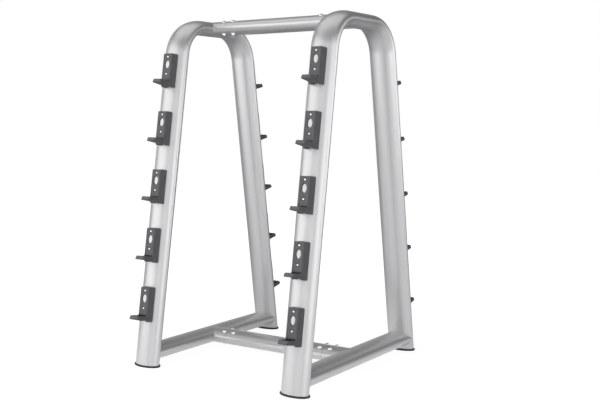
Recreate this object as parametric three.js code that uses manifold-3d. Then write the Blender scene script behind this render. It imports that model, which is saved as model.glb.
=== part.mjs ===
// Barbell storage rack. Two hoops of bent oval tube stand side by side, joined at the top and near
// the floor by crossbars that are spliced and bolted, and every leg carries five moulded saddles.
// Millimetres, +Z up. The origin is on the floor in the middle of the footprint, +X runs from the
// left hoop to the right one, and -Y is the front.
import * as THREE from "three";
import { mergeVertices } from "three/addons/utils/BufferGeometryUtils.js";
import Module from "manifold-3d";

// Oval tube that the whole frame is made of: its long axis lies level everywhere
const TUBE_WIDTH = 131;
const TUBE_DEPTH = 68;
const TUBE_WALL = 3;
const TUBE_SIDES = 20;
const BORE_SIDES = 12;

// Hoops and the rails near the floor
const RACK_HEIGHT = 1587;
const HOOP_SPACING = 806;
const LEG_REACH = 472; // leg axis to the rack's middle, at the floor
const LEG_SLOPE = 0.154; // how far the leg axis closes in for each millimetre of height
const BEND_RADIUS = 157;
const BEND_STEPS = 7;
const LOW_RAIL_HEIGHT = 58; // axis of the low rails and of the lower crossbar

// Crossbar splices
const SEAM_X = 273;
const BOLT_PITCH = 54;
const BOLT_ROW_Y = 31;
const SLEEVE_LENGTH = 116;
const SLEEVE_WALL = 4;
const SLEEVE_BORE_SIDES = 8;
const BOLT_DIAMETER = 10;
const BOLT_HEAD_DIAMETER = 19; // at the skirt
const BOLT_HEAD_TOP = 36; // above the tube's axis
const BOLT_HEAD_SKIRT = 26;
const BOLT_HEAD_TAPER = 0.6;
const BOLT_HEAD_SIDES = 8;
const NUT_SIDES = 6;
const SHANK_SIDES = 6;

// Saddles, measured outwards from the leg axis and up the leg from the middle of the screw pair
const SADDLE_COUNT = 5;
const SADDLE_PITCH = 265;
const LOWEST_SADDLE = 297.5;
const FACE_OUT = 66;
const FACE_HALF = 20;
const FACE_CORNER = 6;
const FACE_WALL = 10;
const FLANK_HALF = 32;
const FLANK_WALL = 9;
const FLANK_TAPER = 0.2; // how far a flank leans in for each millimetre outwards
const BACK_FLAT_HALF = 14;
const SADDLE_TOP = 54.5;
const SADDLE_TOP_WALL = 6;
const SADDLE_BOTTOM = -100; // of the two toes
const SADDLE_FRONT_BOTTOM = -92.5; // in front of the toes
const TOE_OUT = 56; // the step starts here, at the foot of the toes
const TOE_END = 60;
const HOLLOW_BOTTOM = -82;
const ARCH_FOOT_HALF = 16; // arch over the leg, between the two toes of the flanks
const ARCH_CREST_HALF = 11;
const ARCH_CREST = -92;
const SCREW_SPACING = 80;
const SCREW_POCKET_DIAMETER = 15;
const SCREW_POCKET_DEPTH = 3.5;
const SCREW_POCKET_SIDES = 8;
const RECESS_WIDTH = 26.5; // blind oval between the screws
const RECESS_HEIGHT = 40.5;
const RECESS_CENTRE = 4;
const RECESS_DEPTH = 6;
const RECESS_SIDES = 14;

// Ledge that the bar lies on
const SEAT_HEIGHT = -73.5;
const SEAT_FILLET = 8;
const SEAT_OUT = 122.5; // the nose slants on from here to its foot
const NOSE_OUT = 126.5;
const NOSE_ROUND = 4;
const NOSE_BOTTOM = -90.5;
const LEDGE_ROOT_BOTTOM = -94;
const LEDGE_HALF = 24.5;
const LEDGE_CORNER = 7;

// Feet
const FOOT_OVERHANG = 5;
const FOOT_HEIGHT = 8.5;
const FOOT_ROUND = 2.5;
const FOOT_PLUG_TOP = 24;
const FOOT_PLUG_WALL = 3;
const FOOT_SIDES = 16;

const GAP = 0.3; // between pieces that touch
const OVERLAP = 1; // between shapes that are joined into one piece

// Places worked out from the dimensions above
const HALF_WIDTH = TUBE_WIDTH / 2;
const HALF_DEPTH = TUBE_DEPTH / 2;
const HOOP_X = HOOP_SPACING / 2;
const TOP_AXIS = RACK_HEIGHT - HALF_DEPTH;
const LEAN = Math.atan(LEG_SLOPE);
const LEVEL_HALF_DEPTH = HALF_DEPTH / Math.cos(LEAN); // of a leg cut level
const LEDGE_ROOT = FACE_OUT - FACE_WALL + OVERLAP; // inside the saddle's front wall
const BAR_BOLT_X = SEAM_X - BOLT_PITCH / 2;
const STUB_BOLT_X = SEAM_X + BOLT_PITCH / 2;
const SIDES = [-1, 1];
const SADDLE_HEIGHTS = Array.from({ length: SADDLE_COUNT }, (_, i) => LOWEST_SADDLE + i * SADDLE_PITCH);

const FINISHES = {
  silverPaint: { color: 0xd4d5d8, roughness: 0.35, metalness: 0.3 },
  charcoalPlastic: { color: 0x55565a, roughness: 0.6, metalness: 0 },
  blackRubber: { color: 0x1d1d1f, roughness: 0.8, metalness: 0 },
  zincSteel: { color: 0xb9bcc0, roughness: 0.4, metalness: 0.9 },
  chrome: { color: 0xf0f1f3, roughness: 0.12, metalness: 1 },
};

const wasm = await Module();
wasm.setup();

// A closed geometry as a solid that can be cut and joined. Slivers without area are dropped.
function solidOf(geometry) {
  const bare = geometry.clone();
  bare.deleteAttribute("normal");
  bare.deleteAttribute("uv");
  const merged = mergeVertices(bare, 1e-3);
  const corners = merged.index.array;
  const kept = [];
  for (let i = 0; i < corners.length; i += 3) {
    const triangle = [corners[i], corners[i + 1], corners[i + 2]];
    if (new Set(triangle).size === 3) kept.push(...triangle);
  }
  return new wasm.Manifold(
    new wasm.Mesh({
      numProp: 3,
      vertProperties: merged.attributes.position.array,
      triVerts: new Uint32Array(kept),
    }),
  );
}

// A solid back as a geometry with flat-shaded faces.
function geometryOf(solid) {
  const mesh = solid.getMesh();
  const geometry = new THREE.BufferGeometry();
  geometry.setAttribute("position", new THREE.BufferAttribute(mesh.vertProperties, 3));
  geometry.setIndex(new THREE.BufferAttribute(mesh.triVerts, 1));
  const faceted = geometry.toNonIndexed();
  faceted.computeVertexNormals();
  return faceted;
}

function joined(...geometries) {
  return geometryOf(geometries.map(solidOf).reduce((whole, piece) => whole.add(piece)));
}

function cut(geometry, ...tools) {
  return geometryOf(tools.map(solidOf).reduce((rest, tool) => rest.subtract(tool), solidOf(geometry)));
}

function common(a, b) {
  return geometryOf(solidOf(a).intersect(solidOf(b)));
}

function ovalPoints(halfWidth, halfDepth, sides) {
  return Array.from({ length: sides }, (_, i) => {
    const angle = (2 * Math.PI * i) / sides;
    return new THREE.Vector2(halfWidth * Math.cos(angle), halfDepth * Math.sin(angle));
  });
}

function arcPoints(x, y, radius, from, to, steps) {
  return Array.from({ length: steps + 1 }, (_, i) => {
    const angle = from + ((to - from) * i) / steps;
    return new THREE.Vector2(x + radius * Math.cos(angle), y + radius * Math.sin(angle));
  });
}

function outline(points) {
  return new THREE.Shape(points.map((point) => (point.isVector2 ? point : new THREE.Vector2(...point))));
}

// Section of the frame tube, grown by a clearance, as a filled oval.
function filledOval(clearance) {
  return new THREE.Shape(ovalPoints(HALF_WIDTH + clearance, HALF_DEPTH + clearance, TUBE_SIDES));
}

// Section of a hollow oval whose outer surface lies inside the tube's by an inset.
function hollowOval(inset, wall, sides, innerSides) {
  const shape = new THREE.Shape(ovalPoints(HALF_WIDTH - inset, HALF_DEPTH - inset, sides));
  const inner = inset + wall;
  shape.holes.push(new THREE.Path(ovalPoints(HALF_WIDTH - inner, HALF_DEPTH - inner, innerSides)));
  return shape;
}

function tubeSection() {
  return hollowOval(0, TUBE_WALL, TUBE_SIDES, BORE_SIDES);
}

function prism(shape, from, to) {
  const geometry = new THREE.ExtrudeGeometry(shape, { depth: to - from, bevelEnabled: false });
  return geometry.translate(0, 0, from);
}

// Turns a prism so that it runs along X, with its section's width along Y and its depth upright.
function alongX(geometry) {
  const turn = new THREE.Matrix4().makeBasis(
    new THREE.Vector3(0, 1, 0),
    new THREE.Vector3(0, 0, 1),
    new THREE.Vector3(1, 0, 0),
  );
  return geometry.applyMatrix4(turn);
}

// Turns a prism so that it runs along -Y, with its section's width along X and its depth upright.
function outwards(geometry) {
  return geometry.rotateX(Math.PI / 2);
}

// Turns a side view drawn as (outwards, upwards) so that it is swept across X.
function sideSwept(points, half) {
  const turn = new THREE.Matrix4().makeBasis(
    new THREE.Vector3(0, -1, 0),
    new THREE.Vector3(0, 0, 1),
    new THREE.Vector3(-1, 0, 0),
  );
  return prism(outline(points), -half, half).applyMatrix4(turn);
}

// Sends a prism of level slices up the front leg: the slices shift with the lean and stay level.
function alongFrontLeg(geometry) {
  const lean = new THREE.Matrix4().makeShear(0, 0, 0, 0, 0, LEG_SLOPE);
  return geometry.applyMatrix4(lean).translate(0, -LEG_REACH, 0);
}

// Tool shaped like the front leg with a clearance round it.
function frontLegTool(from, to) {
  const slice = ovalPoints(HALF_WIDTH + GAP, LEVEL_HALF_DEPTH + GAP, TUBE_SIDES);
  return alongFrontLeg(prism(new THREE.Shape(slice), from, to));
}

function legAxisY(height) {
  return LEG_REACH - LEG_SLOPE * height;
}

// A path with a ring of the extrusion only at its stations, so that straight runs stay one step long.
class StationPath extends THREE.Curve {
  constructor(stations) {
    super();
    this.stations = stations;
  }

  station(u) {
    return this.stations[Math.round(u * (this.stations.length - 1))];
  }

  getPoint(u) {
    return this.station(u).point.clone();
  }

  getPointAt(u) {
    return this.getPoint(u);
  }

  getTangentAt(u) {
    return this.station(u).tangent.clone();
  }
}

function station(y, z, tangentY, tangentZ) {
  return { point: new THREE.Vector3(0, y, z), tangent: new THREE.Vector3(0, tangentY, tangentZ) };
}

// Axis of a hoop: up the front leg, round the front bend, along the top and down the rear leg.
function hoopPath() {
  const setback = BEND_RADIUS * Math.tan((Math.PI / 2 - LEAN) / 2);
  const centreY = setback - legAxisY(TOP_AXIS);
  const centreZ = TOP_AXIS - BEND_RADIUS;
  const start = -2 * FOOT_HEIGHT;
  const front = [station(-legAxisY(start), start, Math.sin(LEAN), Math.cos(LEAN))];
  for (let i = 0; i <= BEND_STEPS; i++) {
    const angle = LEAN + (i / BEND_STEPS) * (Math.PI / 2 - LEAN);
    const y = centreY - BEND_RADIUS * Math.cos(angle);
    const z = centreZ + BEND_RADIUS * Math.sin(angle);
    front.push(station(y, z, Math.sin(angle), Math.cos(angle)));
  }
  const rear = front.map(({ point, tangent }) => station(-point.y, point.z, tangent.y, -tangent.z));
  return new StationPath([...front, ...rear.reverse()]);
}

// Puts an object on a leg, with its own origin on the leg axis, -Y outwards and +Z up the leg.
function onLeg(object, facing, height) {
  object.rotation.x = -LEAN;
  object.position.set(0, -legAxisY(height), height);
  const side = new THREE.Group();
  side.rotation.z = facing === "front" ? 0 : Math.PI;
  side.add(object);
  side.updateMatrixWorld(true);
  return side;
}

function hoopGeometry() {
  const path = hoopPath();
  const steps = path.stations.length - 1;
  const tube = new THREE.ExtrudeGeometry(tubeSection(), { steps, extrudePath: path, bevelEnabled: false });
  const block = 3 * LEG_REACH;
  const floorCut = new THREE.BoxGeometry(block, block, block);
  return cut(tube, floorCut.translate(0, 0, FOOT_HEIGHT + GAP - block / 2));
}

// Rail between the two legs of a hoop near the floor, with its ends coped to the legs.
function lowRailGeometry() {
  const reach = legAxisY(LOW_RAIL_HEIGHT);
  const rail = outwards(prism(tubeSection(), -reach, reach)).translate(0, 0, LOW_RAIL_HEIGHT);
  const leg = frontLegTool(0, 2 * LOW_RAIL_HEIGHT);
  return cut(rail, leg, leg.clone().rotateZ(Math.PI));
}

// Upright bores for the two bolts that share one place along a crossbar.
function boltBores(x) {
  const radius = BOLT_DIAMETER / 2 + GAP;
  return SIDES.map((side) => {
    const bore = new THREE.CylinderGeometry(radius, radius, 2 * TUBE_DEPTH, SHANK_SIDES);
    return bore.rotateX(Math.PI / 2).translate(x, side * BOLT_ROW_Y, 0);
  });
}

// Stub on the right hoop or rail, coped to the tube that it is welded to.
function stubGeometry() {
  const stub = alongX(prism(tubeSection(), SEAM_X + GAP, HOOP_X));
  const crossing = outwards(prism(filledOval(GAP), -TUBE_WIDTH, TUBE_WIDTH)).translate(HOOP_X, 0, 0);
  return cut(stub, crossing, ...boltBores(STUB_BOLT_X));
}

function crossbarGeometry() {
  const bar = alongX(prism(tubeSection(), -SEAM_X, SEAM_X));
  return cut(bar, ...boltBores(-BAR_BOLT_X), ...boltBores(BAR_BOLT_X));
}

// Sleeve inside the tube that bridges the right seam and takes all four of its bolts.
function sleeveGeometry() {
  const section = hollowOval(TUBE_WALL + 2 * GAP, SLEEVE_WALL, BORE_SIDES, SLEEVE_BORE_SIDES);
  const sleeve = alongX(prism(section, SEAM_X - SLEEVE_LENGTH / 2, SEAM_X + SLEEVE_LENGTH / 2));
  return cut(sleeve, ...boltBores(BAR_BOLT_X), ...boltBores(STUB_BOLT_X));
}

// Button head above and domed nut below on one upright shank, both contoured to sit on the oval tube.
function boltGeometry(y) {
  const height = BOLT_HEAD_TOP - BOLT_HEAD_SKIRT;
  const wide = BOLT_HEAD_DIAMETER / 2;
  const tube = alongX(prism(filledOval(GAP), -TUBE_WIDTH, TUBE_WIDTH));
  const [head, nut] = [BOLT_HEAD_SIDES, NUT_SIDES].map((sides) => {
    const cone = new THREE.CylinderGeometry(BOLT_HEAD_TAPER * wide, wide, height, sides);
    return cut(cone.rotateX(Math.PI / 2).translate(0, y, BOLT_HEAD_TOP - height / 2), tube);
  });
  const thickness = BOLT_DIAMETER / 2;
  const shank = new THREE.CylinderGeometry(thickness, thickness, TUBE_DEPTH, SHANK_SIDES);
  return joined(head, nut.rotateY(Math.PI), shank.rotateX(Math.PI / 2).translate(0, y, 0));
}

// How far out a saddle's back stands, at a distance from the leg's middle line.
function seatOnLeg(x) {
  return GAP + HALF_DEPTH * Math.sqrt(1 - (x / HALF_WIDTH) ** 2);
}

// Saddle's shell in plan: a flat face, rounded corners and flanks that flare down to the leg.
function shellPlan() {
  const cornerOut = FACE_OUT - FACE_CORNER;
  const flankAngle = -Math.atan(FLANK_TAPER);
  const corner = arcPoints(FACE_HALF, -cornerOut, FACE_CORNER, flankAngle, -Math.PI / 2, 2);
  const rightHalf = [new THREE.Vector2(FLANK_HALF, -seatOnLeg(FLANK_HALF)), ...corner];
  const leftHalf = rightHalf.map(({ x, y }) => new THREE.Vector2(-x, y)).reverse();
  const back = [-BACK_FLAT_HALF, BACK_FLAT_HALF].map((x) => new THREE.Vector2(x, -seatOnLeg(0)));
  return outline([...rightHalf, ...leftHalf, ...back]);
}

// Hollow of the shell, open towards the leg.
function shellHollow() {
  const front = FACE_OUT - FACE_WALL;
  const back = HALF_DEPTH / 2;
  const halfAt = (out) => FLANK_HALF - FLANK_WALL - FLANK_TAPER * (out - HALF_DEPTH);
  const plan = [
    [halfAt(front), -front],
    [halfAt(back), -back],
    [-halfAt(back), -back],
    [-halfAt(front), -front],
  ];
  return prism(outline(plan), HOLLOW_BOTTOM, SADDLE_TOP - SADDLE_TOP_WALL);
}

// Tools for the shell's lower end: the step in front of its toes, and the arch between them.
function undersideTools() {
  const step = sideSwept(
    [
      [TOE_OUT, 2 * SADDLE_BOTTOM],
      [TOE_OUT, SADDLE_BOTTOM],
      [TOE_END, SADDLE_FRONT_BOTTOM],
      [2 * FACE_OUT, SADDLE_FRONT_BOTTOM],
      [2 * FACE_OUT, 2 * SADDLE_BOTTOM],
    ],
    HALF_WIDTH,
  );
  const arch = outline([
    [-ARCH_FOOT_HALF, 2 * SADDLE_BOTTOM],
    [-ARCH_FOOT_HALF, SADDLE_BOTTOM],
    [-ARCH_CREST_HALF, ARCH_CREST],
    [ARCH_CREST_HALF, ARCH_CREST],
    [ARCH_FOOT_HALF, SADDLE_BOTTOM],
    [ARCH_FOOT_HALF, 2 * SADDLE_BOTTOM],
  ]);
  return [step, outwards(prism(arch, 0, LEDGE_ROOT))];
}

// Tools for the shell's face: a pocket for each screw's head and the oval recess between them.
function faceTools() {
  const radius = SCREW_POCKET_DIAMETER / 2;
  const pockets = SIDES.map((side) => {
    const pocket = new THREE.CylinderGeometry(radius, radius, 2 * SCREW_POCKET_DEPTH, SCREW_POCKET_SIDES);
    return pocket.translate(0, -FACE_OUT, (side * SCREW_SPACING) / 2);
  });
  const oval = new THREE.Shape(ovalPoints(RECESS_WIDTH / 2, RECESS_HEIGHT / 2, RECESS_SIDES));
  const recess = outwards(prism(oval, FACE_OUT - RECESS_DEPTH, FACE_OUT + RECESS_DEPTH));
  return [...pockets, recess.translate(0, 0, RECESS_CENTRE)];
}

// Side view of the ledge: a fillet at the face, a flat seat, and a slanted nose with rounded edges.
function ledgeSide() {
  const filletTop = SEAT_HEIGHT + SEAT_FILLET;
  const topOut = SEAT_OUT - NOSE_ROUND;
  const bottomOut = NOSE_OUT - NOSE_ROUND;
  return [
    [LEDGE_ROOT, filletTop],
    ...arcPoints(FACE_OUT + SEAT_FILLET, filletTop, SEAT_FILLET, Math.PI, 1.5 * Math.PI, 2),
    ...arcPoints(topOut, SEAT_HEIGHT - NOSE_ROUND, NOSE_ROUND, Math.PI / 2, 0, 2),
    ...arcPoints(bottomOut, NOSE_BOTTOM + NOSE_ROUND, NOSE_ROUND, 0, -Math.PI / 2, 2),
    [LEDGE_ROOT, LEDGE_ROOT_BOTTOM],
  ];
}

// The ledge in plan, with its two front corners rounded.
function ledgePlan() {
  const centre = LEDGE_HALF - LEDGE_CORNER;
  const nose = LEDGE_CORNER - NOSE_OUT;
  return outline([
    [-LEDGE_HALF, 0],
    ...arcPoints(-centre, nose, LEDGE_CORNER, Math.PI, 1.5 * Math.PI, 2),
    ...arcPoints(centre, nose, LEDGE_CORNER, 1.5 * Math.PI, 2 * Math.PI, 2),
    [LEDGE_HALF, 0],
  ]);
}

// Moulded saddle: a hollow shell that is screwed to the leg, with the ledge for the bar.
function saddleGeometry() {
  const shell = prism(shellPlan(), SADDLE_BOTTOM, SADDLE_TOP);
  const ledge = common(sideSwept(ledgeSide(), LEDGE_HALF), prism(ledgePlan(), 2 * SADDLE_BOTTOM, 0));
  return joined(cut(shell, shellHollow(), ...undersideTools(), ...faceTools()), ledge);
}

// Rubber foot: a rounded oval tread under the leg, with a sleeve that plugs the tube.
function footGeometry() {
  const grown = FOOT_OVERHANG - FOOT_ROUND;
  const tread = new THREE.Shape(ovalPoints(HALF_WIDTH + grown, LEVEL_HALF_DEPTH + grown, FOOT_SIDES));
  const pad = new THREE.ExtrudeGeometry(tread, {
    depth: FOOT_HEIGHT - 2 * FOOT_ROUND,
    bevelThickness: FOOT_ROUND,
    bevelSize: FOOT_ROUND,
    bevelSegments: 1,
  });
  const bore = TUBE_WALL + 2 * GAP;
  const inner = bore + FOOT_PLUG_WALL;
  const plug = new THREE.Shape(ovalPoints(HALF_WIDTH - bore, LEVEL_HALF_DEPTH - bore, BORE_SIDES));
  plug.holes.push(new THREE.Path(ovalPoints(HALF_WIDTH - inner, LEVEL_HALF_DEPTH - inner, BORE_SIDES)));
  return joined(
    pad.translate(0, -legAxisY(FOOT_HEIGHT), FOOT_ROUND),
    alongFrontLeg(prism(plug, FOOT_HEIGHT - OVERLAP, FOOT_PLUG_TOP)),
  );
}

function part(name, geometry, finish) {
  const mesh = new THREE.Mesh(geometry, new THREE.MeshStandardMaterial(FINISHES[finish]));
  mesh.name = name;
  return mesh;
}

// One hoop with its low rail, two feet and ten saddles.
function hoopAssembly(name) {
  const assembly = new THREE.Group();
  assembly.add(part(`${name}_hoop`, hoopGeometry(), "silverPaint"));
  assembly.add(part(`${name}_low_rail`, lowRailGeometry(), "silverPaint"));
  for (const facing of ["front", "rear"]) {
    const foot = part(`${name}_${facing}_foot`, footGeometry(), "blackRubber");
    foot.rotation.z = facing === "front" ? 0 : Math.PI;
    assembly.add(foot);
    SADDLE_HEIGHTS.forEach((height, i) => {
      const saddle = part(`${name}_${facing}_saddle_${i + 1}`, saddleGeometry(), "charcoalPlastic");
      assembly.add(onLeg(saddle, facing, height));
    });
  }
  return assembly;
}

// Everything at one splice: the stub, the sleeve inside it and the four bolts.
function spliceAssembly(name) {
  const splice = new THREE.Group();
  splice.add(part(`${name}_stub`, stubGeometry(), "silverPaint"));
  splice.add(part(`${name}_splice_sleeve`, sleeveGeometry(), "zincSteel"));
  let count = 0;
  for (const x of [BAR_BOLT_X, STUB_BOLT_X]) {
    for (const side of SIDES) {
      count += 1;
      const bolt = part(`${name}_splice_bolt_${count}`, boltGeometry(side * BOLT_ROW_Y), "chrome");
      bolt.position.x = x;
      splice.add(bolt);
    }
  }
  return splice;
}

function crossbarAssembly(level, height) {
  const assembly = new THREE.Group();
  assembly.add(part(`${level}_crossbar`, crossbarGeometry(), "silverPaint"));
  const right = spliceAssembly(`${level}_right`);
  const left = spliceAssembly(`${level}_left`);
  left.rotation.z = Math.PI;
  assembly.add(right, left);
  assembly.position.z = height;
  return assembly;
}

const rack = new THREE.Group();
const leftHoop = hoopAssembly("left");
leftHoop.position.x = -HOOP_X;
const rightHoop = hoopAssembly("right");
rightHoop.position.x = HOOP_X;
rack.add(leftHoop, rightHoop);
rack.add(crossbarAssembly("upper", TOP_AXIS), crossbarAssembly("lower", LOW_RAIL_HEIGHT));

export default rack;
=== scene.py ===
"""Barbell storage rack, dressed for rendering.

Two hoops of bent oval tube carry moulded saddles and stand on rubber feet, and crossbars with bolted
splices join them. Every piece is a surface worked out in millimetres in the rack's own frame: +Z up,
+X along the barbells, -Y to the front, with the origin on the floor in the middle of the footprint.
"""

import logging
import math
from dataclasses import dataclass, field
from enum import Enum
from typing import Callable, Iterator, Sequence

import bmesh
import bpy
import numpy as np
from mathutils import Matrix, Vector


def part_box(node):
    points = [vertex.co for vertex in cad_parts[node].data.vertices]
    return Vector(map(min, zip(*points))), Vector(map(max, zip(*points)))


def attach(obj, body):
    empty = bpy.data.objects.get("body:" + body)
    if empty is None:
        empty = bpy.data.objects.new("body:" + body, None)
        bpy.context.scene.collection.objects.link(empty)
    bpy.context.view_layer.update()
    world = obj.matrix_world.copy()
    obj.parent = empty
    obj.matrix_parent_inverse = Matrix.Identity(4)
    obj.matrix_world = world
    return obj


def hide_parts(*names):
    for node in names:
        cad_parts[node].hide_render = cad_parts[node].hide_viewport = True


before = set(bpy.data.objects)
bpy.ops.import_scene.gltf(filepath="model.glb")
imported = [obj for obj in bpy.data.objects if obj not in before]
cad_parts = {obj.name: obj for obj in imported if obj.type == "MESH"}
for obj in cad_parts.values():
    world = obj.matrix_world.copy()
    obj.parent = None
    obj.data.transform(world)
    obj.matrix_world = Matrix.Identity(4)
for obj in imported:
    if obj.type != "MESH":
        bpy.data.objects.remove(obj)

LOG = logging.getLogger("barbell_rack")
MM = 0.001
BODY = "root"

RingShape = Callable[[np.ndarray, np.ndarray], np.ndarray]  # scale of a radius, from ring number and angle
EndShape = Callable[[np.ndarray, np.ndarray], np.ndarray]  # place along a tube, from across and upwards


class Side(Enum):
    """The two hoops, by the sign of their place along X."""

    LEFT = -1
    RIGHT = 1


class Facing(Enum):
    """The two legs of a hoop, by the sign of their place along Y."""

    FRONT = -1
    REAR = 1


class Level(Enum):
    """The two crossbars."""

    UPPER = "upper"
    LOWER = "lower"


class Slot(Enum):
    """Material slots of the record."""

    SILVER_PAINT = "silver_paint"
    CHARCOAL_PLASTIC = "charcoal_plastic"
    BLACK_RUBBER = "black_rubber"
    ZINC_STEEL = "zinc_steel"
    CHROME = "chrome"


def linear(hex_colour: str) -> tuple[float, float, float, float]:
    """Turn an sRGB colour into the linear values that a shader reads.

    Args:
        hex_colour: Colour as "#RRGGBB".

    Returns:
        Red, green, blue and alpha.
    """
    encoded = np.array([int(hex_colour[i : i + 2], 16) for i in (1, 3, 5)]) / 255
    decoded = np.where(encoded <= 0.04045, encoded / 12.92, ((encoded + 0.055) / 1.055) ** 2.4)
    return (*decoded.tolist(), 1.0)


def add_node(
    tree: bpy.types.NodeTree, kind: str, settings: dict[str, str] | None = None, **inputs: object
) -> bpy.types.Node:
    """Add a node, set its properties and fill or link its inputs.

    Args:
        tree: Node tree that gets the node.
        kind: Blender's type name of the node.
        settings: Values of the node's own properties.
        **inputs: A value or an output socket for each input, named with underscores for spaces, or
            with an i and the input's number.

    Returns:
        The new node.
    """
    node = tree.nodes.new(kind)
    for name, value in (settings or {}).items():
        setattr(node, name, value)
    for name, value in inputs.items():
        key = int(name[1:]) if name[0] == "i" and name[1:].isdigit() else name.replace("_", " ")
        socket = node.inputs[key]
        if isinstance(value, bpy.types.NodeSocket):
            tree.links.new(value, socket)
        else:
            socket.default_value = value
    return node


def mixed(
    tree: bpy.types.NodeTree, share: bpy.types.NodeSocket, first: object, second: object
) -> bpy.types.NodeSocket:
    """Mix two colours.

    Args:
        tree: Node tree that gets the node.
        share: How much of the second colour shows.
        first: A colour, or the socket of one.
        second: The same.

    Returns:
        The socket of the mixed colour.
    """
    node = add_node(tree, "ShaderNodeMix", {"data_type": "RGBA"}, Factor=share, i6=first, i7=second)
    return node.outputs[2]


def ramp(
    tree: bpy.types.NodeTree,
    value: bpy.types.NodeSocket,
    ends: tuple[float, float],
    reach: tuple[float, float] = (0.0, 1.0),
    easing: str = "LINEAR",
) -> bpy.types.NodeSocket:
    """Value that goes from one end to the other along a ramp.

    Args:
        tree: Node tree that gets the node.
        value: Place along the ramp.
        ends: Values at its start and at its end.
        reach: Places of its start and of its end.
        easing: Blender's name for the way between them.

    Returns:
        The value's socket.
    """
    node = add_node(
        tree,
        "ShaderNodeMapRange",
        {"interpolation_type": easing},
        Value=value,
        From_Min=reach[0],
        From_Max=reach[1],
        To_Min=ends[0],
        To_Max=ends[1],
    )
    return node.outputs["Result"]


def mirror_rays(tree: bpy.types.NodeTree, path: bpy.types.Node) -> bpy.types.NodeSocket:
    """Tell the rays that come off or through a glossy surface.

    Args:
        tree: Node tree that gets the node.
        path: Its light path node.

    Returns:
        A socket that gives 1 for such rays and 0 for others.
    """
    glossy, through = path.outputs["Is Glossy Ray"], path.outputs["Is Transmission Ray"]
    return add_node(tree, "ShaderNodeMath", {"operation": "MAXIMUM"}, i0=glossy, i1=through).outputs[0]


def add_relief(
    shader: bpy.types.Node, height: bpy.types.NodeSocket, depth_mm: float, strength: float
) -> None:
    """Drive a shader's normal by a fine relief.

    Args:
        shader: Principled shader.
        height: Socket of the relief's height, from 0 to 1.
        depth_mm: Depth of the relief.
        strength: Share of the relief that shows.
    """
    tree = shader.id_data
    bump = add_node(tree, "ShaderNodeBump", Height=height, Distance=depth_mm * MM, Strength=strength)
    tree.links.new(bump.outputs["Normal"], shader.inputs["Normal"])


def smoothstep(value: np.ndarray) -> np.ndarray:
    """Ease from 0 to 1: 3v^2 - 2v^3 of the value clipped to that range.

    Args:
        value: Values to ease.

    Returns:
        The eased values.
    """
    eased = np.clip(value, 0, 1)
    return eased * eased * (3 - 2 * eased)


@dataclass
class Surface:
    """Points in millimetres, shape (count, 3), with the faces that index them."""

    points: np.ndarray
    faces: list[list[int]]

    @staticmethod
    def grid(points: np.ndarray, close_rows: bool = False, close_columns: bool = False) -> "Surface":
        """Quads over a grid of points.

        Args:
            points: Array of shape (rows, columns, 3).
            close_rows: Whether the last row joins the first.
            close_columns: Whether the last column joins the first.

        Returns:
            The surface.
        """
        rows, columns = points.shape[:2]
        index = np.arange(rows * columns).reshape(rows, columns)
        if close_rows:
            index = np.vstack([index, index[:1]])
        if close_columns:
            index = np.hstack([index, index[:, :1]])
        quads = np.stack([index[:-1, :-1], index[:-1, 1:], index[1:, 1:], index[1:, :-1]], axis=-1)
        return Surface(points.reshape(-1, 3), quads.reshape(-1, 4).tolist())

    @staticmethod
    def polygon(points: np.ndarray) -> "Surface":
        """One flat face round a closed outline of shape (count, 3)."""
        return Surface(points, [list(range(len(points)))])

    @staticmethod
    def capped(points: np.ndarray) -> "Surface":
        """Rings of shape (rings, sides, 3) joined to a pipe, with a flat face on its first and last ring."""
        ends = [Surface.polygon(points[0]), Surface.polygon(points[-1])]
        return Surface.joined([Surface.grid(points, close_columns=True), *ends])

    @staticmethod
    def joined(parts: Sequence["Surface"]) -> "Surface":
        """Several surfaces as one.

        Args:
            parts: The surfaces.

        Returns:
            One surface with all their points and faces.
        """
        starts = np.cumsum([0] + [len(part.points) for part in parts])
        faces = [[i + int(start) for i in face] for part, start in zip(parts, starts) for face in part.faces]
        return Surface(np.concatenate([part.points for part in parts]), faces)

    def mesh(self, name: str, sharp_angle: float = 38.0) -> bpy.types.Mesh:
        """Turn the surface into a mesh with merged seams, outward faces and smooth shading.

        Args:
            name: Name of the mesh.
            sharp_angle: Edges that turn by more than this many degrees stay crisp.

        Returns:
            The mesh, in metres.
        """
        made = bpy.data.meshes.new(name)
        made.from_pydata((self.points * MM).tolist(), [], self.faces)
        shell = bmesh.new()
        shell.from_mesh(made)
        bmesh.ops.remove_doubles(shell, verts=shell.verts, dist=2e-6)
        bmesh.ops.dissolve_degenerate(shell, edges=shell.edges, dist=1e-6)
        bmesh.ops.recalc_face_normals(shell, faces=shell.faces)
        shell.to_mesh(made)
        shell.free()
        made.shade_smooth()
        made.set_sharp_from_angle(angle=math.radians(sharp_angle))
        return made


def revolved(profile: np.ndarray, sides: int, shape: RingShape | None = None) -> Surface:
    """Turn a profile about Z, with its two ends closed.

    Args:
        profile: Radius and height of each ring, shape (rings, 2).
        sides: Number of points round a ring.
        shape: Optional function of ring number and angle that scales the radius.

    Returns:
        The closed surface.
    """
    angle = np.linspace(0, 2 * np.pi, sides, endpoint=False)[None, :]
    radius = np.repeat(profile[:, :1], sides, axis=1)
    if shape is not None:
        radius = radius * shape(np.arange(len(profile))[:, None], angle)
    height = np.repeat(profile[:, 1:], sides, axis=1)
    return Surface.capped(np.stack([radius * np.cos(angle), radius * np.sin(angle), height], axis=-1))


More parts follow.
